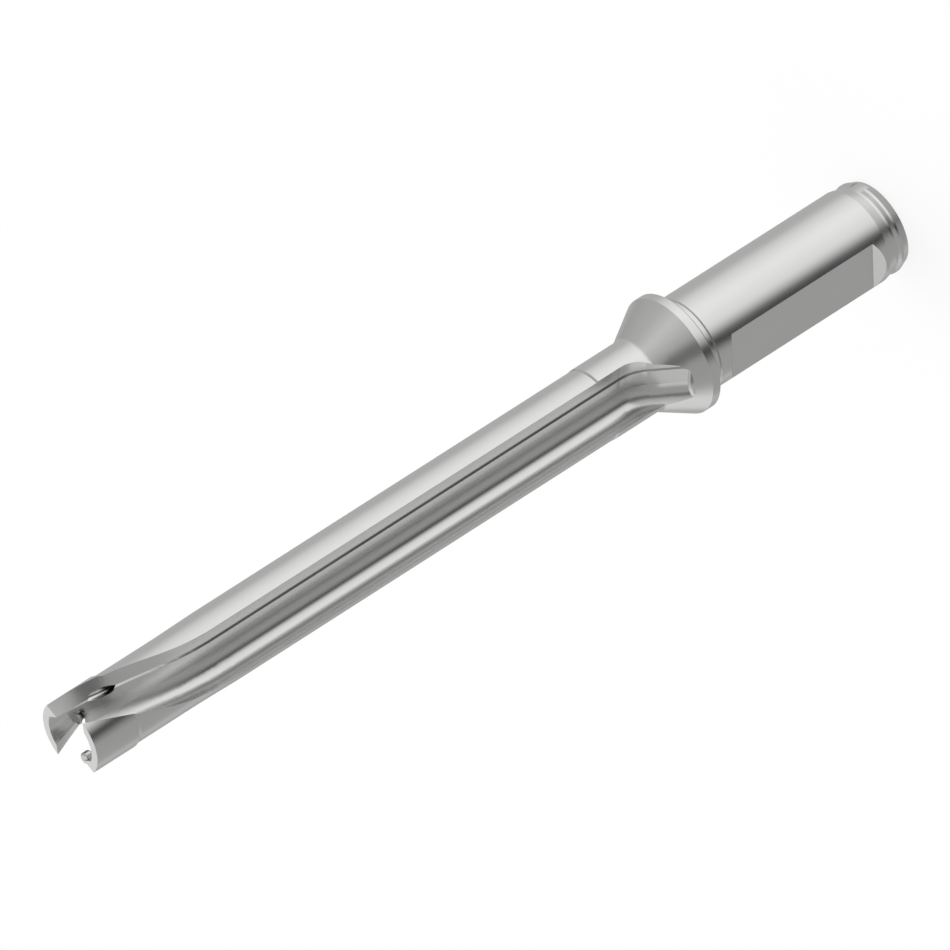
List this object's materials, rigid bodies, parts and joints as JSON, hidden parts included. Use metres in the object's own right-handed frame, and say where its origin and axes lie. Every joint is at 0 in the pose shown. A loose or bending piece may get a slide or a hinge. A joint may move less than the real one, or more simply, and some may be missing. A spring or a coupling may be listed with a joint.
{
  "type": "indexable drill",
  "caption": "Slender drill holder with a side-flat shank, a flange with a cone, flutes that turn near the end, and an open pocket for an exchangeable tip.",
  "frame": {"origin": "centre of the shank's rear end face", "axes": "+Z along the axis towards the tip, +X the outward normal of the shank's clamping flat"},
  "size_m": [0.025, 0.025, 0.2053],
  "materials": {
    "body": "satin nickel over ground steel",
    "stop_pin": "polished steel",
    "locating_pin": "ground steel"
  },
  "bodies": {
    "root": {"drill_body": "body", "stop_pin": "stop_pin", "locating_pin": "locating_pin"}
  },
  "joints": []
}
